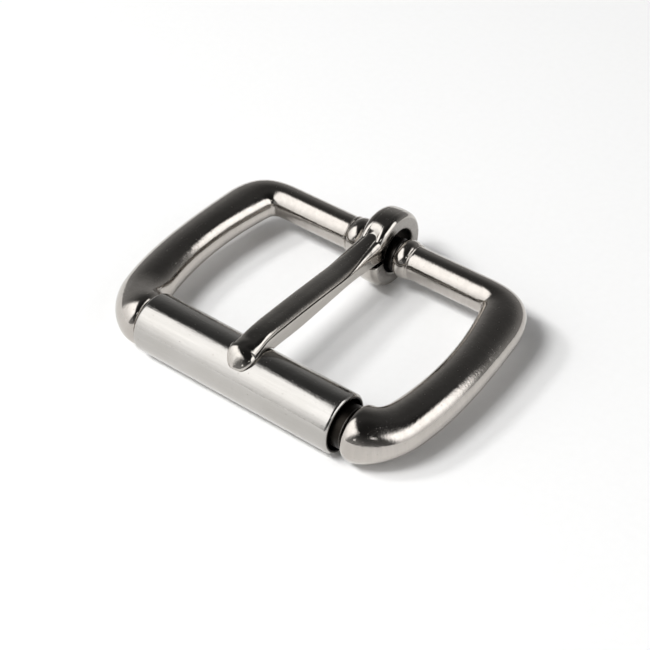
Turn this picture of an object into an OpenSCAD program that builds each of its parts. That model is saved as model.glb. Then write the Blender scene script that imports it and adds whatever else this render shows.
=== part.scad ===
// Heel bar roller buckle: one-piece frame, swinging tongue, loose roller.
// X runs along the bars, Y from the roller (front) to the belt bar (rear), Z up.
// The origin is the bottom centre of the bounding box, tongue lying on the roller.

/* [Frame] */
// distance between the roller axis and the belt bar axis
bar_gap = 31.2; // [26:0.1:38]
// diameter of the belt bar the strap loops round
bar_d = 5.1; // [4:0.1:6]
// half width across the outside of the side arms, at their widest
arm_out = 27; // [25:0.1:30]
// half width between the side arms, at their widest
arm_in = 20.5; // [19:0.1:22]
// half width between the side arms where they meet the belt bar
heel_in = 18.6; // [18:0.1:20]
// half the thickness of an arm beside the belt bar
heel_half = 2.6; // [2.2:0.05:3]
// half the thickness of an arm halfway along
arm_half = 2.7; // [2.4:0.05:3.2]
// radius of the rounded front corner where it faces the roller
bulb_r = 4.05; // [3.6:0.05:4.3]
// squareness of the arm cross-section, 2 is an ellipse
arm_square = 2.2; // [2:0.05:3]

/* [Belt bar middle] */
// diameter of the thin neck the tongue swings on
neck_d = 4.6; // [3.6:0.1:4.8]
// diameter of the rounded collar on each side of the tongue
collar_d = 5.9; // [5.6:0.1:6.4]
// width of one rounded collar
collar_w = 2.8; // [2:0.1:3.2]
// gap between the side of the tongue and the collar
collar_gap = 0.6; // [0.3:0.05:1]
// width of the thin rim that ends each bar stretch
rim_w = 0.34; // [0.3:0.02:0.8]
// diameter of that rim
rim_d = 5.6; // [5.3:0.05:5.8]

/* [Roller] */
// length of the rolled tube
roller_len = 33.6; // [30:0.2:36]
// outside diameter of the rolled tube
roller_d = 8.8; // [8:0.1:9.6]
// inside diameter of the rolled tube
roller_bore = 7.5; // [6.8:0.1:8]
// diameter of the front axle bar inside the tube
axle_d = 6.4; // [5.6:0.1:6.6]
// gap between each end of the tube and the front corner of the frame, tube centred
roller_play = 0.83; // [0.3:0.01:1]
// where the loose tube lies along its axle, from the centre
roller_shift = -0.7; // [-0.8:0.05:0.8]
// rounding of the tube's outer end edges
roller_edge = 0.5; // [0.1:0.05:0.55]

/* [Tongue] */
// outside radius of the eye ring
eye_r = 5.9; // [5:0.1:6.5]
// radius of the hole through the eye
eye_bore = 3.4; // [3.1:0.05:3.6]
// width of the eye ring along the bar
eye_w = 4.1; // [3:0.1:4.5]
// how far the ring centre sits behind the neck axis
eye_back = 0.6; // [0.4:0.05:0.7]
// width of the shaft
shaft_w = 3.8; // [2.5:0.1:4]
// height of the domed top above the side walls of the shaft
dome_h = 0.85; // [0.5:0.05:1.5]
// squareness of the domed top's cross-section, 2 is an ellipse
dome_square = 2.6; // [2:0.1:3.5]
// width of the ledge along each side of the shaft
ledge_w = 0.16; // [0.05:0.01:0.3]
// gap between the tongue tip and the roller it rests on
rest_gap = 0.12; // [0.05:0.01:0.3]
// width of the closed seam where the hook end meets the shaft
seam_w = 0.3; // [0.2:0.05:0.5]

/* [Hidden] */
$fn = 96;
roller_r = roller_d/2;
bar_r = bar_d/2;
y_front = -roller_r;
y_rear = bar_gap + eye_back + eye_r;
y_axle = -(y_front + y_rear)/2;
y_bar = y_axle + bar_gap;
z_mid = eye_r;
collar_x = eye_w/2 + collar_gap;
rim_x = collar_x + collar_w - 0.14;
bulb_x = roller_len/2 + roller_play;
bulb_edge = 1.3;
bulb_end = 64;
bulb_back = bulb_edge*sin(bulb_end);
bore_edge = 0.35;
band_edge = 1.05;
saddle_r = roller_r + rest_gap;
section_n = 28;

function mix(a, b, t) = a + (b - a)*t;
function bez(p, t) = pow(1 - t, 3)*p[0] + 3*t*pow(1 - t, 2)*p[1]
    + 3*t*t*(1 - t)*p[2] + pow(t, 3)*p[3];
function smooth(t) = t*t*(3 - 2*t);
function power(v, e) = sign(v)*pow(abs(v), e);

// outer plan outline of one arm: rear corner, side, front corner
out_rear = [[17.2, bar_gap + bar_r - 0.03], [22.4, bar_gap + bar_r - 0.03],
    [arm_out - 1.28, bar_gap + 0.9], [arm_out - 0.68, bar_gap - 5.8]];
out_side = [[arm_out - 0.68, bar_gap - 5.8], [arm_out - 0.12, bar_gap - 12.1],
    [arm_out + 0.5, 10.2], [arm_out - 1.2, 3.2]];
out_front = [[arm_out - 1.2, 3.2], [arm_out - 2.2, -0.9],
    [arm_out - 5.6, -bulb_r], [bulb_x + bulb_back, -bulb_r]];
// inner plan outline of the same arm
in_rear = [[17.2, bar_gap - bar_r + 0.03], [heel_in - 0.3, bar_gap - bar_r + 0.03],
    [heel_in - 0.05, bar_gap - bar_r], [heel_in + 0.15, bar_gap - bar_r - 0.6]];
in_side = [[heel_in + 0.15, bar_gap - bar_r - 0.6], [arm_in + 0.1, bar_gap - 10],
    [arm_in + 0.5, 14], [arm_in - 0.9, 7.4]];
in_front = [[arm_in - 0.9, 7.4], [arm_in - 1.3, 5.6],
    [bulb_x + 1.87, bulb_r + 0.1], [bulb_x + bulb_back, bulb_r]];

// stations along the arm, each [outer point, inner point, half thickness, squareness]
function arm_station(o, i, h, q, n, skip) = [for (k = [skip:n]) let (t = k/n)
    [bez(o, t), bez(i, t), mix(h[0], h[1], smooth(t)), mix(q[0], q[1], smooth(t))]];
function bulb_station(a) = let (r = bulb_r - bulb_edge*(1 - cos(a)),
        x = bulb_x + bulb_back - bulb_edge*sin(a))
    [[x, -r], [x, r], r, 2];
arm_stations = concat(
    arm_station(out_rear, in_rear, [bar_r - 0.03, heel_half], [2, arm_square], 10, 0),
    arm_station(out_side, in_side, [heel_half, arm_half + 0.25], [arm_square, arm_square], 12, 1),
    arm_station(out_front, in_front, [arm_half + 0.25, bulb_r], [arm_square, 2], 10, 1),
    [for (a = [bulb_end/4:bulb_end/4:bulb_end]) bulb_station(a)]);

// one closed cross-section standing between an inner and an outer plan point
function section(s) = let (c = (s[0] + s[1])/2, u = (s[0] - s[1])/2, e = 2/s[3])
    [for (k = [0:section_n - 1]) let (a = 360*k/section_n, p = c + u*power(cos(a), e))
        [p[0], p[1], s[2]*power(sin(a), e)]];

// skin over a row of cross-sections that all have n points
module skin(rows, n) {
    m = len(rows);
    polyhedron(
        points = [for (r = rows) for (p = r) p],
        faces = concat(
            [[for (k = [0:n - 1]) k]],
            [for (i = [0:m - 2]) for (k = [0:n - 1]) let (a = i*n + k, b = i*n + (k + 1)%n)
                each [[a, b + n, b], [a, a + n, b + n]]],
            [[for (k = [n - 1:-1:0]) (m - 1)*n + k]]),
        convexity = 6);
}

// cylinder along X between two positions
module bar_x(r, x0, x1) translate([x0, 0, 0]) rotate([0, 90, 0]) cylinder(r = r, h = x1 - x0);

module arm() skin([for (s = arm_stations) section(s)], section_n);

module frame_casting() {
    arm();
    mirror([1, 0, 0]) arm();
    bar_x(axle_d/2, -bulb_x - 1, bulb_x + 1);
    translate([0, bar_gap, 0]) {
        for (m = [0, 1]) mirror([m, 0, 0]) {
            bar_x(bar_r, rim_x, heel_in - 0.6);
            bar_x(rim_d/2, rim_x, rim_x + rim_w);
            translate([collar_x + collar_w/2, 0, 0]) rotate([0, 90, 0]) rotate_extrude()
                intersection() {
                    union() {
                        translate([(collar_d - collar_w)/2, 0]) circle(d = collar_w);
                        translate([0, -collar_w/2]) square([(collar_d - collar_w)/2, collar_w]);
                    }
                    translate([0, -collar_w]) square([collar_d, 2*collar_w]);
                }
        }
        bar_x(neck_d/2, -rim_x - 0.5, rim_x + 0.5);
    }
}

// shaft levels from the eye forward, each [y, underside, top of the side wall, shoulder inset,
// shoulder height, crown height], the last two above the side wall
shaft_levels = [
    [bar_gap - 3.4, 0.75, 2.8, 1.0, 1.34, 1.36], [bar_gap - 5.2, 1.05, 2.92, 0.86, 1.14, 1.22],
    [bar_gap - 6.7, 1.3, 3.03, 0.68, 0.84, 1.09], [bar_gap - 9.2, 1.7, 3.25, 0.34, 0.34, 0.93],
    [bar_gap - 11, 1.9, 3.45, 0.2, 0.12, dome_h], [bar_gap - 15, 2.1, 3.95, ledge_w, 0.06, dome_h],
    [bar_gap - 19, 2.25, 4.45, ledge_w, 0.06, dome_h], [bar_gap - 23, 2.5, 4.9, ledge_w, 0.06, dome_h],
    [5.8, 2.8, 5.15, ledge_w, 0.06, dome_h], [4.6, 2.95, 5.27, ledge_w, 0.06, dome_h]];

// underside over the roller follows the roller's curve
function saddle(y) = max(sqrt(saddle_r*saddle_r - y*y), 3.05);
// side wall and crown over the roller, the crown dipping a little before the nose
function nose_side(y) = mix(5.35, 4.75, pow((3.25 - y)/6.35, 2.2));
function nose_top(y) = nose_side(y) + dome_h - 0.1*exp(-pow((y - 0.9)/0.8, 2));
// how far the side wall has rounded off, 0 on the shaft and 1 at the nose
function nose_round(y) = smooth(min(1, max(0, (2.2 - y)/3.4)));

// outline of a shaft cross-section: flat underside, side walls, rounded shoulders, dome
function shaft_section(y, lo, side, w, inset, shoulder, top, q) =
    let (r = min(0.45, (side - lo)/3), d = w - inset, e = 2/q, base = side + shoulder)
    [for (p = concat(
        [[-w + r, lo], [w - r, lo], [w, lo + r], [w, side]],
        [for (a = [30:30:90]) [d + inset*cos(a), side + shoulder*sin(a)]],
        [for (a = [15:15:165]) [d*power(cos(a), e), base + (top - base)*power(sin(a), e)]],
        [for (a = [90:-30:30]) [-d - inset*cos(a), side + shoulder*sin(a)]],
        [[-w, side], [-w, lo + r]])) [p[0], y, p[1]]];
shaft_points = 23;

// one cross-section over the roller, f runs from 1 on the shaft to 0 at the very tip
function nose_section(y, w, f, g) = let (n = nose_round(y), top = nose_top(y),
        lo = mix(nose_low - 0.2, saddle(y), g), hi = mix(nose_low, top, f),
        wall = (hi - lo)*mix((nose_side(y) - saddle(y))/(top - saddle(y)), 0.16, n))
    shaft_section(y, lo, lo + wall, w*mix(1, 1.06, n), mix(ledge_w, 0.05, n), mix(0.06, 0.02, n), hi,
        mix(dome_square, 1.9, n));
nose_y = -0.9;
nose_r = 2.3;
nose_low = 3.8;
shaft_rows = concat(
    [for (s = shaft_levels) shaft_section(s[0], s[1], s[2], shaft_w/2, s[3], s[4], s[2] + s[5], dome_square)],
    [for (k = [0:10]) let (y = mix(3.25, nose_y, k/10)) nose_section(y, shaft_w/2, 1, 1)],
    [for (a = [12:12:84]) nose_section(nose_y - nose_r*sin(a), shaft_w/2*pow(cos(a), 0.85),
        1 - pow(sin(a), 2.4), sqrt(cos(a)))]);

module eye_ring() translate([0, bar_gap + eye_back, 0]) rotate([0, 90, 0]) rotate_extrude()
    union() {
        square([eye_r - band_edge, eye_w/2]);
        mirror([0, 1]) square([eye_r - band_edge, eye_w/2]);
        translate([0, -eye_w/2 + band_edge]) square([eye_r, eye_w - 2*band_edge]);
        for (s = [-1, 1]) translate([eye_r - band_edge, s*(eye_w/2 - band_edge)]) circle(r = band_edge);
    }

module eye_cut() translate([0, bar_gap + eye_back, 0]) {
    bar_x(eye_bore, -eye_w, eye_w);
    for (m = [0, 1]) mirror([m, 0, 0]) translate([eye_w/2 - bore_edge, 0, 0]) rotate([0, 90, 0])
        cylinder(r1 = eye_bore, r2 = eye_bore + 2*bore_edge, h = 2*bore_edge);
}

module tongue_casting() difference() {
    union() {
        eye_ring();
        skin(shaft_rows, shaft_points);
    }
    eye_cut();
    translate([0, bar_gap + eye_back - eye_bore - 1.6, 0.35]) rotate([-8, 0, 0])
        cube([2*eye_w, 4.6, seam_w], center = true);
}

module roller_tube() translate([roller_shift, 0, 0]) difference() {
    rotate([0, 90, 0]) rotate_extrude() {
        translate([0, roller_edge - roller_len/2]) square([roller_r, roller_len - 2*roller_edge]);
        translate([0, -roller_len/2]) square([roller_r - roller_edge, roller_len]);
        for (s = [-1, 1]) translate([roller_r - roller_edge, s*(roller_len/2 - roller_edge)])
            circle(r = roller_edge);
    }
    bar_x(roller_bore/2, -roller_len, roller_len);
}

module in_place() translate([0, y_axle, z_mid]) children();

module frame() color([0.72, 0.71, 0.69]) in_place() frame_casting();
module tongue() color([0.62, 0.61, 0.60]) in_place() tongue_casting();
module roller() color([0.80, 0.79, 0.77]) in_place() roller_tube();

frame();
tongue();
roller();
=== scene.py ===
import math
import bpy
import numpy as np
from mathutils import Matrix, Vector


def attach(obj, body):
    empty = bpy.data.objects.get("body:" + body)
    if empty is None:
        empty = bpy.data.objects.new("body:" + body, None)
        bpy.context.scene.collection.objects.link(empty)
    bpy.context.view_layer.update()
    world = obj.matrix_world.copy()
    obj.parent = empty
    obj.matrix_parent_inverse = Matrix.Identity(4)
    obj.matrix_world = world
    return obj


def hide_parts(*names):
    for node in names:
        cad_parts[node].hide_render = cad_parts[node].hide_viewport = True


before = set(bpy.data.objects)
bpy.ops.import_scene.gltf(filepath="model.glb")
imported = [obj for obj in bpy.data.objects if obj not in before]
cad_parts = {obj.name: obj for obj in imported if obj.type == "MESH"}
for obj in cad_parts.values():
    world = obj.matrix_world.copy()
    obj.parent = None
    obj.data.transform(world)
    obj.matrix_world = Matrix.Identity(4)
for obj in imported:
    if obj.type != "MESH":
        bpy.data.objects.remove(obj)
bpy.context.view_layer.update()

# ---- sizes, in millimetres: the CAD part's, with a little more surface detail -------------------
BAR_GAP, BAR_R = 31.2, 2.55
ARM_OUT, ARM_IN, HEEL_IN = 27.0, 20.5, 18.6
HEEL_HALF, ARM_HALF, BULB_R, ARM_SQUARE = 2.6, 2.7, 4.05, 2.2
BULB_X, BULB_EDGE, BULB_END = 17.5, 1.3, 64
NECK_R, COLLAR_R, COLLAR_W, COLLAR_X = 2.3, 2.95, 2.8, 2.65
RIM_R, RIM_W = 2.72, 0.3
ROLLER_R, ROLLER_BORE, ROLLER_LEN, ROLLER_SHIFT = 4.4, 3.75, 33.6, -0.7
ROLLER_EDGE, ROLLER_LIP, AXLE_R = 0.5, 0.1, 3.2
EYE_R, EYE_BORE, EYE_W, EYE_BACK = 5.9, 3.4, 4.1, 0.6
SHAFT_HALF, DOME_H, DOME_SQUARE = 1.9, 0.85, 2.6
TIP_Y, TIP_R, TIP_LOW = -0.9, 2.3, 3.8
SADDLE_R, SADDLE_END = 4.52, 3.25  # the hollow under the nose, which follows the roller
Y_AXLE, Z_MID = -16.65, 5.9
MM = 0.001


def mix(a, b, t):
    return a + (b - a) * t


def smooth(t):
    return t * t * (3 - 2 * t)


def step(v, lo, hi):
    """Smooth step of a number, 0 up to lo and 1 from hi on."""
    return smooth(min(1, max(0, (v - lo) / (hi - lo))))


def bez(p, t):
    p = np.array(p, float)
    t = np.asarray(t, float)[:, None]
    return (1 - t) ** 3 * p[0] + 3 * t * (1 - t) ** 2 * p[1] + 3 * t * t * (1 - t) * p[2] + t ** 3 * p[3]


def power(v, e):
    """Power of a signed number that keeps the sign."""
    return np.sign(v) * np.abs(v) ** e


def degrees(first, last, count):
    """Evenly spaced angles given in degrees, in radians."""
    return np.radians(np.linspace(first, last, count))


def arc(cx, cr, radius, first, last, count=6):
    return [(cx + radius * math.cos(a), cr + radius * math.sin(a)) for a in degrees(first, last, count)]


def make_object(name, rings, closed):
    """Smooth-shaded skin over rings of points, in millimetres about the roller axis.

    closed joins the last ring to the first; otherwise both ends are capped.
    """
    count, size = len(rings), len(rings[0])
    points = (np.vstack(rings) + (0, Y_AXLE, Z_MID)) * MM
    faces = []
    for i in range(count if closed else count - 1):
        a, b = i * size, ((i + 1) % count) * size
        faces += [(a + k, a + (k + 1) % size, b + (k + 1) % size, b + k) for k in range(size)]
    if not closed:
        faces += [tuple(range(size))[::-1], tuple((count - 1) * size + k for k in range(size))]
    mesh = bpy.data.meshes.new(name)
    mesh.from_pydata(points.tolist(), [], faces)
    mesh.polygons.foreach_set("use_smooth", [True] * len(mesh.polygons))
    mesh.update()
    obj = bpy.data.objects.new(name, mesh)
    bpy.context.scene.collection.objects.link(obj)
    return obj


# ---- frame: one closed loop of cross-sections ------------------------------------------------


def bar_profile():
    """Positions and radii along the belt bar, from the middle of the neck out to the arm."""
    fillet_x, fillet_r = 2.3, 0.25
    half, bead = COLLAR_W / 2, COLLAR_W / 2 + 0.15
    profile = [(x, NECK_R) for x in (0, 0.8, 1.6, fillet_x)]
    profile += arc(fillet_x, NECK_R + fillet_r, fillet_r, -90, 0, 5)[1:]
    for a in degrees(162, 47, 24):
        profile.append((COLLAR_X + bead + bead * math.cos(a), COLLAR_R - half + half * math.sin(a)))
    edge, low = profile[-1][0] + 0.03, profile[-1][1] - 0.02
    profile.append((edge, low))
    for a in degrees(160, 10, 9):
        x = edge + 0.03 + RIM_W / 2 * (1 + math.cos(a))
        profile.append((x, low + (RIM_R - low) * math.sin(a)))
    edge += RIM_W
    profile += [(edge + 0.06, BAR_R + 0.02), (edge + 0.14, BAR_R), (edge + 0.4, BAR_R)]
    profile += [(x, BAR_R) for x in np.linspace(edge + 1, 16.4, 10)]
    return profile


def arm_stations():
    """Outer and inner plan point, half thickness and squareness, from the belt bar to the axle."""
    rear, front = BAR_GAP + BAR_R, BAR_GAP - BAR_R
    side_out, side_in = [ARM_OUT - 0.68, BAR_GAP - 5.8], [HEEL_IN + 0.15, front - 0.6]
    corner_out, corner_in = [ARM_OUT - 1.2, 3.2], [ARM_IN - 0.9, 7.4]
    mid_half = ARM_HALF + 0.25
    stretches = [
        ([[17.2, rear], [22.4, rear], [ARM_OUT - 1.28, BAR_GAP + 0.9], side_out],
         [[17.2, front], [HEEL_IN - 0.3, front], [HEEL_IN - 0.05, front], side_in],
         (BAR_R, HEEL_HALF), (2, ARM_SQUARE)),
        ([side_out, [ARM_OUT - 0.12, BAR_GAP - 12.1], [ARM_OUT + 0.5, 10.2], corner_out],
         [side_in, [ARM_IN + 0.1, BAR_GAP - 10], [ARM_IN + 0.5, 14], corner_in],
         (HEEL_HALF, mid_half), (ARM_SQUARE, ARM_SQUARE)),
        ([corner_out, [ARM_OUT - 2.2, -0.9], [ARM_OUT - 5.6, -BULB_R], [BULB_X + BULB_EDGE, -BULB_R]],
         [corner_in, [ARM_IN - 1.3, 5.6], [BULB_X + 2, BULB_R + 0.1], [BULB_X + BULB_EDGE, BULB_R]],
         (mid_half, BULB_R), (ARM_SQUARE, 2))]
    stations = []
    for k, (outer, inner, half, square) in enumerate(stretches):
        t = np.linspace(0, 1, 27)[(0 if k == 0 else 1):]
        for o, i, s in zip(bez(outer, t), bez(inner, t), t):
            stations.append((o, i, mix(*half, smooth(s)), mix(*square, smooth(s))))
    for a in degrees(8, BULB_END, 9):
        r, x = BULB_R - BULB_EDGE * (1 - math.cos(a)), BULB_X + BULB_EDGE * (1 - math.sin(a))
        stations.append(((x, -r), (x, r), r, 2))
    return stations


def frame_rings():
    stations = [((x, BAR_GAP + r), (x, BAR_GAP - r), r, 2) for x, r in bar_profile()]
    stations += arm_stations()
    stations += [((x, -AXLE_R), (x, AXLE_R), AXLE_R, 2) for x in (17.45, 17.2, 16, 9, 0)]
    a = np.linspace(0, 2 * math.pi, 112, endpoint=False)
    rings = []
    for o, i, half, square in stations:
        centre, u, e = (np.array(o) + i) / 2, (np.array(o) - i) / 2, 2 / square
        plan = centre + u * power(np.cos(a), e)[:, None]
        rings.append(np.column_stack([plan, half * power(np.sin(a), e)]))
    left = [ring * (-1, 1, 1) for ring in rings[1:-1]][::-1]
    return rings + left


# ---- roller: rolled tube with softened ends ---------------------------------------------------


def roller_rings():
    half, count = ROLLER_LEN / 2, 144
    flat, deep = half - ROLLER_EDGE, half - ROLLER_LIP
    rim, mouth = ROLLER_R - ROLLER_EDGE, ROLLER_BORE + ROLLER_LIP
    profile = arc(-flat, rim, ROLLER_EDGE, 180, 90, 10)
    profile += [(x, ROLLER_R) for x in np.linspace(-flat, flat, 26)[1:-1]]
    profile += arc(flat, rim, ROLLER_EDGE, 90, 0, 10)
    profile += arc(deep, mouth, ROLLER_LIP, 0, -90, 4)
    profile += [(x, ROLLER_BORE) for x in np.linspace(deep, -deep, 8)[1:-1]]
    profile += arc(-deep, mouth, ROLLER_LIP, -90, -180, 4)
    t = np.linspace(0, 2 * math.pi, count, endpoint=False)
    return [np.column_stack([np.full(count, x + ROLLER_SHIFT), r * np.cos(t), r * np.sin(t)])
            for x, r in profile]


# ---- tongue: one sweep from the tip, along the shaft and round the hooked eye ------------------
LEVELS = [  # y, underside, top of the side wall
    (3.25, 3.05, 5.35), (4.6, 2.95, 5.27), (5.8, 2.8, 5.15), (8.2, 2.5, 4.9), (12.2, 2.25, 4.45),
    (16.2, 2.1, 3.95), (20.2, 1.9, 3.45), (23.2, 1.55, 3.15), (26.0, 1.05, 2.92), (27.8, 0.75, 2.8)]
SHOULDER = [  # y, half width of the dome, then heights above the side wall: shoulder, dome edge, dome top
    (17.0, 1.74, 0.05, 0.07, 0.85), (20.0, 1.70, 0.12, 0.12, 0.86), (22.0, 1.56, 0.40, 0.34, 0.93),
    (24.5, 1.22, 0.90, 0.84, 1.09), (26.3, 1.00, 1.20, 1.13, 1.24), (27.6, 0.90, 1.34, 1.27, 1.33)]
NOSE_SKEW = 0.6  # sideways lean of the crown on the nose
NOSE_WALL = 0.16  # the side wall's share of the height on the nose
NOSE_WIDER = 0.12  # how much wider the nose is than the shaft, as a share
NOSE_SQUARE = 1.8  # squareness of the nose's top, 2 is an ellipse
ROOT_Y = 22.5  # where the shaft starts to run into the eye
ROOT_HALF = SHAFT_HALF + 0.06  # half width of the shaft where it meets the eye
EYE_END = -185  # angle round the eye at which the hook closes under the shaft


def spline(table, y):
    """Smooth curve through the table's rows, columns 1 on, at y."""
    t = np.array(table, float)
    x, v = t[:, 0], t[:, 1:]
    slope = np.gradient(v, x, axis=0)
    k = int(np.clip(np.searchsorted(x, y) - 1, 0, len(x) - 2))
    h = x[k + 1] - x[k]
    s = (y - x[k]) / h
    return ((2 * s ** 3 - 3 * s ** 2 + 1) * v[k] + (s ** 3 - 2 * s ** 2 + s) * h * slope[k]
            + (-2 * s ** 3 + 3 * s ** 2) * v[k + 1] + (s ** 3 - s ** 2) * h * slope[k + 1])


def tongue_ring(inner, outer, half, side, dome, shoulder, edge, square=2, corner=0.35, bulge=0, skew=0):
    """Ring between an inner and an outer (y, z) point: flat underside, side walls, shoulders, dome.

    half is the half width and dome the dome's; side, shoulder and edge are heights above inner.
    bulge pushes the middle of the upper part along the sweep, towards and round the eye, and skew
    leans the crown sideways.
    """
    i, o = np.array(inner, float), np.array(outer, float)
    height = np.linalg.norm(o - i)
    d = (o - i) / height
    r = min(corner, side * 0.4, half * 0.4)
    rim, e = dome - min(0.04, dome * 0.2), 2 / square
    outline = [(u, 0.0) for u in np.linspace(0, half - r, 5)[:-1]]
    outline += arc(half - r, r, r, -90, 0)
    outline += [(half, v) for v in np.linspace(r, side, 6)[1:]]
    for a in degrees(0, 90, 9)[1:]:
        outline.append((dome + (half - dome) * math.cos(a), side + (shoulder - side) * math.sin(a)))
    outline.append(((dome + rim) / 2, (shoulder + edge) / 2))
    a = degrees(0, 90, 17)
    outline += list(zip(rim * power(np.cos(a), e), edge + (height - edge) * power(np.sin(a), e)))
    uv = np.array(outline + [(-u, v) for u, v in outline[-2:0:-1]])
    uv[:, 0] -= skew * smooth(np.clip((uv[:, 1] - side) / (height - side), 0, 1))
    across = np.sqrt(np.clip(1 - (uv[:, 0] / max(dome + 0.04, 0.1)) ** 2, 0, 1))
    ahead = bulge * across * (uv[:, 1] > side * 0.5)
    return np.column_stack([uv[:, 0], i[0] + uv[:, 1] * d[0] + ahead * d[1],
                            i[1] + uv[:, 1] * d[1] - ahead * d[0]])


def shaft_heights(y):
    """Underside, top of the side wall and crown, with the underside hollowed over the roller."""
    if y < SADDLE_END:
        under = max(math.sqrt(SADDLE_R ** 2 - y * y), 3.05)
        side = mix(5.35, 4.75, ((SADDLE_END - y) / 6.35) ** 2.2)
    else:
        under, side = spline(LEVELS, y)
    return under, side, side + DOME_H - 0.17 * math.exp(-((y - 0.9) / 0.8) ** 2)


def nose_round(y):
    """How far the side walls have rounded off, 0 on the shaft and 1 on the nose."""
    return 1 - step(y, -1.2, 2.2)


def tip_rings():
    """From the very tip to the full nose; a is 90 degrees at the tip and 0 at the full nose."""
    rings = []
    for a in degrees(88.5, 0, 30):
        y = TIP_Y - TIP_R * math.sin(a)
        n, taper = nose_round(y), 1 - math.sin(a) ** 2.4
        half = SHAFT_HALF * (1 + NOSE_WIDER) * math.cos(a) ** 0.85
        under, side, top = shaft_heights(y)
        low, high = mix(TIP_LOW - 0.2, under, math.cos(a) ** 0.5), mix(TIP_LOW, top, taper)
        wall = (high - low) * mix((side - under) / (top - under), NOSE_WALL, n)
        rings.append(tongue_ring(
            (y, low), (y, high), half, wall, half * 0.97, wall + 0.02, wall + 0.03,
            square=mix(DOME_SQUARE, NOSE_SQUARE, n), corner=0.2 * taper + 0.04,
            skew=NOSE_SKEW * n * half / SHAFT_HALF))
    return rings


def shaft_rings():
    """From the full nose to the eye, where the foot of each ring runs ahead of its top."""
    first, last = SHOULDER[0][0], SHOULDER[-1][0]
    rings = []
    for y in [*np.linspace(TIP_Y, SADDLE_END, 18)[1:-1], *np.linspace(SADDLE_END, 27.5, 76)]:
        low, side, top = shaft_heights(y)
        n = nose_round(y)
        dome, shoulder, edge, crown = spline(SHOULDER, min(max(y, first), last))
        foot_y = y + 0.82 * max(0, (y - ROOT_Y) / 5) ** 1.6
        if y >= ROOT_Y:
            low = max(0.53, spline(LEVELS, min(foot_y, LEVELS[-1][0]))[0] - 0.1 * max(0, foot_y - 27.2))
        side = mix(side, 2.93, step(y, 25.4, 27.5))
        if y > first:
            top = side + crown
        wall = mix(side - low, (top - low) * NOSE_WALL, n)
        half = mix(SHAFT_HALF * (1 + NOSE_WIDER * n), ROOT_HALF, step(y, 22, 27.5))
        dome = min(dome, mix(1.74, SHAFT_HALF * 1.08, n))
        rings.append(tongue_ring(
            (foot_y, low), (y, top), half, wall, dome, wall + shoulder, wall + edge,
            square=mix(DOME_SQUARE, NOSE_SQUARE, n), corner=0.3, bulge=step(y, ROOT_Y, 26.7),
            skew=NOSE_SKEW * n))
    return rings


def ring_point(radius, angle):
    """Point (y, z) on a circle round the middle of the eye."""
    a = math.radians(angle)
    return np.array((BAR_GAP + EYE_BACK + radius * math.cos(a), radius * math.sin(a)))


def eye_rings():
    """Round the eye; its band starts a little proud of the rounded end of the dome."""
    angles = [(171.5, 133.2), (171, 132.2), (169, 130), (167, 127.5), (165, 125), (163, 122), (160.5, 119)]
    angles += [(mix(160.5, 70, k / 16), mix(119, 70, k / 16)) for k in range(1, 17)]
    angles += [(a, a) for a in np.linspace(70, EYE_END, 66)[1:]]
    rings = []
    for k, (a, b) in enumerate(angles):
        i, o = ring_point(EYE_BORE, a), ring_point(EYE_R, b)
        height, t = np.linalg.norm(o - i), min(1, k / 12)
        half = mix(ROOT_HALF, EYE_W / 2, smooth(t))
        rings.append(tongue_ring(
            i, o, half, height - mix(1.3, 0.95, t), half - mix(1.06, 1.2, t), height - 0.05, height - 0.05,
            bulge=0.95 * (1 - step(k, 0, 9))))
    return rings


def hook_rings():
    """End of the hook, a little hollow so that its seam under the shaft stays open."""
    i, o = ring_point(EYE_BORE, EYE_END), ring_point(EYE_R, EYE_END)
    u = (o - i) / np.linalg.norm(o - i)
    along = np.array((u[1], -u[0]))
    rings = []
    for inset, sunk in ((0.03, 0.04), (0.09, 0.08), (0.18, 0.11), (0.3, 0.12)):
        top = EYE_R - EYE_BORE - 0.05 - 2 * inset
        rings.append(tongue_ring(
            i + u * inset - along * sunk, o - u * inset - along * sunk, EYE_W / 2 - inset, 1.55 - inset,
            EYE_W / 2 - 1.2 - inset * 0.5, top, top))
    return rings


frame_mesh = make_object("frame_casting", frame_rings(), True)
roller = make_object("roller_tube", roller_rings(), True)
tongue = make_object("tongue_casting", tip_rings() + shaft_rings() + eye_rings() + hook_rings(), False)

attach(frame_mesh, "frame")
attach(tongue, "tongue")
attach(roller, "roller")
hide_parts("frame")
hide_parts("tongue")
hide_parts("roller")

# ---- shader helpers ----------------------------------------------------------------------------


def add(tree, kind, inputs=None, out=0, **props):
    """Adds a shader node, sets its properties and its inputs, and returns one of its outputs."""
    n = tree.nodes.new("ShaderNode" + kind)
    for key, value in props.items():
        setattr(n, key, value)
    for key, value in (inputs or {}).items():
        if isinstance(value, bpy.types.NodeSocket):
            tree.links.new(value, n.inputs[key])
        else:
            n.inputs[key].default_value = value
    return n.outputs[out]


def calc(tree, operation, a, b=0.0):
    return add(tree, "Math", {0: a, 1: b}, operation=operation)


def times(tree, a, b):
    return calc(tree, "MULTIPLY", a, b)


def weighted(tree, first, *terms):
    """first plus each (value, weight) term's product."""
    for value, weight in terms:
        first = calc(tree, "ADD", first, times(tree, value, weight))
    return first


def ramp(tree, value, lo, hi, to_lo=0.0, to_hi=1.0):
    """Smooth step of value from lo to hi, running from to_lo to to_hi."""
    return add(tree, "MapRange", {0: value, 1: lo, 2: hi, 3: to_lo, 4: to_hi},
               interpolation_type="SMOOTHSTEP")


def two_tone(tree, value, stops, colours):
    """Colour that runs from the first of two colours to the second between two stops."""
    tone = add(tree, "ValToRGB", {0: value})
    for element, stop, colour in zip(tone.node.color_ramp.elements, stops, colours):
        element.position, element.color = stop, (*colour, 1)
    return tone


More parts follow.
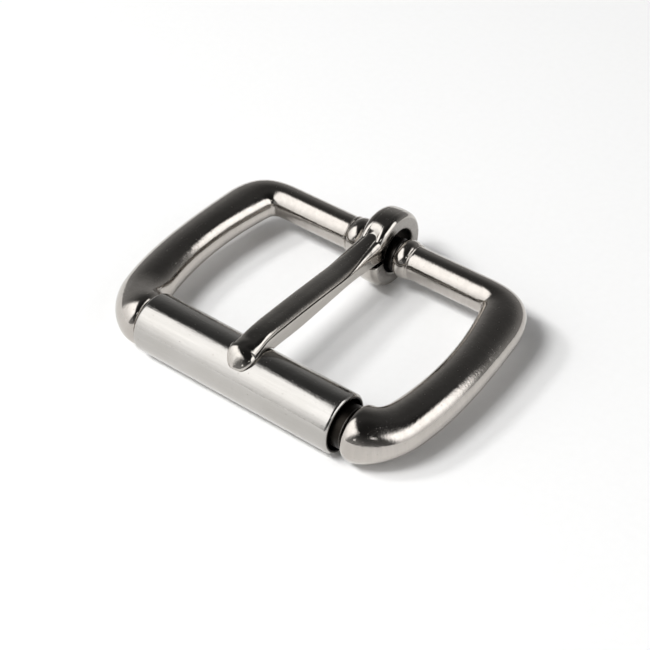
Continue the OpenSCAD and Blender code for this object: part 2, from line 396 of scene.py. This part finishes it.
def blend(tree, amount, under, over):
    """Colour under, covered by the colour over by an amount."""
    return add(tree, "Mix", {0: amount, 6: under, 7: (*over, 1)}, out=2, data_type="RGBA")


def near_axis(tree, place, y, z, radius, soft):
    """Mask of a cylinder along X, sizes in mm, and each point's distance from its middle along X."""
    spot = add(tree, "VectorMath", {0: place, 1: (0, y * MM, z * MM)}, operation="SUBTRACT")
    flat = add(tree, "VectorMath", {0: spot, 1: (0, 1, 1)}, operation="MULTIPLY")
    reach = add(tree, "VectorMath", {0: flat}, out=1, operation="LENGTH")
    aside = calc(tree, "ABSOLUTE", add(tree, "SeparateXYZ", {0: spot}))
    return ramp(tree, reach, radius * MM, (radius + soft) * MM, 1.0, 0.0), aside


# ---- metal -------------------------------------------------------------------------------------
# painted shade colours: near-black in the recesses, dark grey on the eye's flat side faces
SHADE, CHEEK_SHADE = (0.022, 0.019, 0.016), (0.27, 0.255, 0.24)


def scaled(colour, r, g=None, b=None):
    return [c * f for c, f in zip(colour, (r, g or r, b or r))]


def nickel(name, base, rough, grain, brush, seed, recess, cheeks=None):
    """Polished nickel plate: patchy tone, worn haze, fine hairlines and the ripple of a buffed casting.

    The lines run along the axis for which grain is small. recess lists the places of painted shade,
    each a cylinder along X (y, z, radius, half length): the insides of the eye and the roller, and
    the bars that they cover, painted near-black as shade and made rougher. cheeks is (y, z, radius,
    distance from the middle) of flat side faces painted darker grey as shade and made rougher. All are in
    mm.
    """
    mat = bpy.data.materials.new(name)
    mat.use_nodes = True
    tree = mat.node_tree
    bsdf = tree.nodes["Principled BSDF"]
    place = add(tree, "TexCoord", out=3)
    shifted = add(tree, "VectorMath", {0: place, 1: (seed, seed * 2.0, seed * 3.0)}, operation="ADD")
    along = add(tree, "VectorMath", {0: shifted, 1: grain}, operation="MULTIPLY")

    def noise(scale, detail, roughness=0.5, vector=shifted):
        return add(tree, "TexNoise", {
            "Vector": vector, "Scale": scale, "Detail": detail, "Roughness": roughness})

    haze = noise(160, 5.0, 0.6)
    ripple = noise(420, 1.5)
    peel = noise(2300, 2.0)
    lines = noise(2600, 2.0, 0.6, along)
    scratch = ramp(tree, lines, 0.66, 0.72)
    streak = ramp(tree, noise(1100, 3.0, 0.6, along), 0.36, 0.64)
    pits = ramp(tree, noise(3400, 2.0), 0.69, 0.75)

    # painted shade: mask of the recesses, which are darkened and made rougher below
    recess_shade = 0.0
    for y, z, radius, length in recess:
        near, aside = near_axis(tree, place, y, z, radius, 0.25)
        within = ramp(tree, aside, length * MM, (length + 0.3) * MM, 1.0, 0.0)
        recess_shade = calc(tree, "MAXIMUM", recess_shade, times(tree, near, within))
    # painted shade on the eye's flat side faces, which are also made rougher
    dull_and_shade = 0.0
    if cheeks:
        y, z, radius, out = cheeks
        near, aside = near_axis(tree, place, y, z, radius, 0.5)
        dull_and_shade = times(tree, near, ramp(tree, aside, out * MM, (out + 0.1) * MM))

    colour = two_tone(tree, haze, (0.3, 0.72), (scaled(base, 0.93), scaled(base, 1.03, 1.035, 1.05)))
    colour = blend(tree, times(tree, pits, 0.55), colour, scaled(base, 0.5, 0.47, 0.42))
    colour = blend(tree, times(tree, streak, 0.16), colour, scaled(base, 0.6))
    # painted shade: the recesses drawn near-black
    colour = blend(tree, recess_shade, colour, SHADE)
    # painted shade: the eye's flat side faces darkened towards grey
    colour = blend(tree, times(tree, dull_and_shade, 0.75), colour, CHEEK_SHADE)
    worn = ramp(tree, haze, 0.35, 0.75, rough * 0.7, rough * 1.6)
    matt = weighted(tree, worn, (scratch, 0.07), (streak, 0.04), (recess_shade, 0.3), (dull_and_shade, 0.14), (pits, 0.2))
    height = weighted(tree, times(tree, ripple, 6.0), (peel, 2.8), (lines, brush), (scratch, -0.12),
                      (pits, -0.8))
    bump = add(tree, "Bump", {"Height": height, "Strength": 1.0, "Distance": 0.000004})
    tree.links.new(colour, bsdf.inputs["Base Color"])
    tree.links.new(matt, bsdf.inputs["Roughness"])
    tree.links.new(bump, bsdf.inputs["Normal"])
    bsdf.inputs["Metallic"].default_value = 1
    return mat


AXLE, BAR = (Y_AXLE, Z_MID), (Y_AXLE + BAR_GAP, Z_MID)
EYE = (Y_AXLE + BAR_GAP + EYE_BACK, Z_MID)
# the lists give where painted shade goes: the axle and the bar's neck under the eye, the eye's bore and
# flat sides, the roller's bore
frame_mesh.data.materials.append(nickel(
    "plate_frame", (0.53, 0.496, 0.458), 0.10, (1, 1, 0.12), 1.4, 0.31,
    [(*AXLE, 3.4, 17.3), (*BAR, 2.62, 2.6)]))
tongue.data.materials.append(nickel(
    "plate_tongue", (0.53, 0.50, 0.46), 0.10, (1, 0.12, 1), 1.6, 0.57,
    [(*EYE, 3.42, 2.0)], (*EYE, 6.0, 1.94)))
roller.data.materials.append(nickel(
    "plate_roller", (0.50, 0.482, 0.455), 0.11, (0.05, 1, 1), 3.2, 0.83, [(*AXLE, 3.95, 16.9)]))

# ---- floor, tangent to the roller and to the bottom of the eye ring --------------------------
TILT = math.asin((EYE_R - ROLLER_R) / (BAR_GAP + EYE_BACK))
floor_up = Vector((0, math.sin(TILT), math.cos(TILT)))
roller_axis = Vector((0, Y_AXLE, Z_MID)) * MM
bpy.ops.mesh.primitive_plane_add(size=3, location=roller_axis - floor_up * (ROLLER_R + 0.02) * MM)
floor = bpy.context.object
floor.name = "floor"
floor.rotation_euler = (-TILT, 0, 0)
paper = bpy.data.materials.new("paper")
paper.use_nodes = True
tree = paper.node_tree
bsdf = tree.nodes["Principled BSDF"]
fibre = add(tree, "TexNoise", {"Vector": add(tree, "TexCoord", out=3), "Scale": 900, "Detail": 3.0})
tint = two_tone(tree, fibre, (0, 1), ((0.90, 0.898, 0.893), (0.93, 0.93, 0.927)))
tree.links.new(tint, bsdf.inputs["Base Color"])
tree.links.new(add(tree, "Bump", {"Height": fibre, "Distance": 0.00001}), bsdf.inputs["Normal"])
bsdf.inputs["Roughness"].default_value = 0.75
floor.data.materials.append(paper)

# ---- studio: soft boxes around the object, drawn by direction on the world ---------------------


def toward(az, el):
    """Unit vector at an azimuth (0 = +Y, 90 = +X) and an elevation, in degrees."""
    az, el = math.radians(az), math.radians(el)
    return Vector((math.sin(az) * math.cos(el), math.cos(az) * math.cos(el), math.sin(el)))


def facing(tree, ray, direction):
    """Cosine of the angle between a ray and a direction."""
    return add(tree, "VectorMath", {0: ray, 1: direction}, out=1, operation="DOT_PRODUCT")


def panel(tree, ray, centre, edges):
    """Mask of a soft-edged panel: each edge has two directions that it passes through, and a softness."""
    mask = 1.0
    for p, q, soft in edges:
        n = toward(*p).cross(toward(*q)).normalized()
        if n.dot(toward(*centre)) < 0:
            n = -n
        mask = times(tree, mask, ramp(tree, facing(tree, ray, n), -soft, soft))
    return mask


FLOOR_SHARE = 0.62  # how much of the world's light the floor gets

world = bpy.data.worlds.new("studio")
bpy.context.scene.world = world
world.use_nodes = True
tree = world.node_tree
ray = add(tree, "TexCoord")
rise = add(tree, "SeparateXYZ", {0: ray}, out=2)
# a dark room, with a large soft box on the left, a smaller one on the right and two small lamps
dark_side = ramp(tree, facing(tree, ray, toward(105, 38)), 0.45, 0.85, 1.0, 0.35)
glow = times(tree, ramp(tree, rise, 0.0, 0.85, 0.30, 0.05), dark_side)
left = panel(tree, ray, (-140, 45), [
    ((-100, 0), (-84, 60), 0.13), ((-160, 9), (141, 55), 0.13), ((-85, 64), (-150, 69), 0.12)])
right = panel(tree, ray, (72, 22), [
    ((56, 0), (38, 46), 0.05), ((45, 48), (110, 40), 0.09), ((103, 0), (107, 40), 0.09)])
for az, el, size in ((127, 37, 0.9982), (170, 20, 0.9991)):
    spark = facing(tree, ray, toward(az, el))
    right = calc(tree, "ADD", right, ramp(tree, spark, size, size + 0.0006, 0, 1.2))
glow = weighted(tree, glow, (left, ramp(tree, rise, 0.05, 0.78, 0.90, 1.95)),
                (right, ramp(tree, rise, 0.0, 0.5, 0.8, 2.1)))
# full strength in the metal's reflections, weaker as light on the floor, plain white for the camera
light_path = add(tree, "LightPath").node.outputs
from_camera, in_metal = light_path["Is Camera Ray"], light_path["Is Glossy Ray"]
glow = times(tree, glow, weighted(tree, FLOOR_SHARE, (in_metal, 1 - FLOOR_SHARE)))
glow = weighted(tree, from_camera, (glow, calc(tree, "SUBTRACT", 1.0, from_camera)))
tree.links.new(glow, tree.nodes["Background"].inputs["Strength"])
tree.nodes["Background"].inputs["Color"].default_value = (1, 1, 1, 1)


def lamp(name, az, el, wide, deep, watts, far=0.9):
    """Rectangular soft light aimed at the object, its width along X, that the metal doesn't reflect."""
    light = bpy.data.objects.new(name, bpy.data.lights.new(name, "AREA"))
    light.data.shape, light.data.size, light.data.size_y = "RECTANGLE", wide, deep
    light.data.energy = watts
    aim = toward(az, el)
    across = (Vector((1, 0, 0)) - aim * aim.x).normalized()
    light.matrix_world = Matrix((across, aim.cross(across), aim)).transposed().to_4x4()
    light.location = aim * far
    light.visible_glossy = False
    bpy.context.scene.collection.objects.link(light)


lamp("key_high", -158, 59, 0.30, 0.20, 5.2)
lamp("key_low", -125, 49, 0.12, 0.12, 2.2)
lamp("fill", 0, 89.9, 1.6, 1.6, 0.5, 1.2)
bpy.context.scene.view_settings.view_transform = "Standard"

# ---- camera, at the photo's angle: azimuth, elevation and roll in degrees, distance in metres ---
CAM_AZ, CAM_EL, CAM_ROLL, CAM_DIST = 140.28, 44.19, math.radians(-3.01), 0.2343
AIM = Vector((0, -3.71, 5.9)) * MM
back = toward(CAM_AZ, CAM_EL)
level = Vector((0, 0, 1)).cross(back).normalized()
upright = back.cross(level)
cam_x = level * math.cos(CAM_ROLL) + upright * math.sin(CAM_ROLL)
cam_y = upright * math.cos(CAM_ROLL) - level * math.sin(CAM_ROLL)
camera = bpy.data.objects.new("camera", bpy.data.cameras.new("camera"))
bpy.context.scene.collection.objects.link(camera)
bpy.context.scene.camera = camera
camera.matrix_world = Matrix((cam_x, cam_y, back)).transposed().to_4x4()
camera.location = AIM + back * CAM_DIST
camera.data.sensor_width, camera.data.lens = 36, 92.686
camera.data.shift_x, camera.data.shift_y = 0.02615, -0.00923
camera.data.clip_start, camera.data.clip_end = 0.01, 10
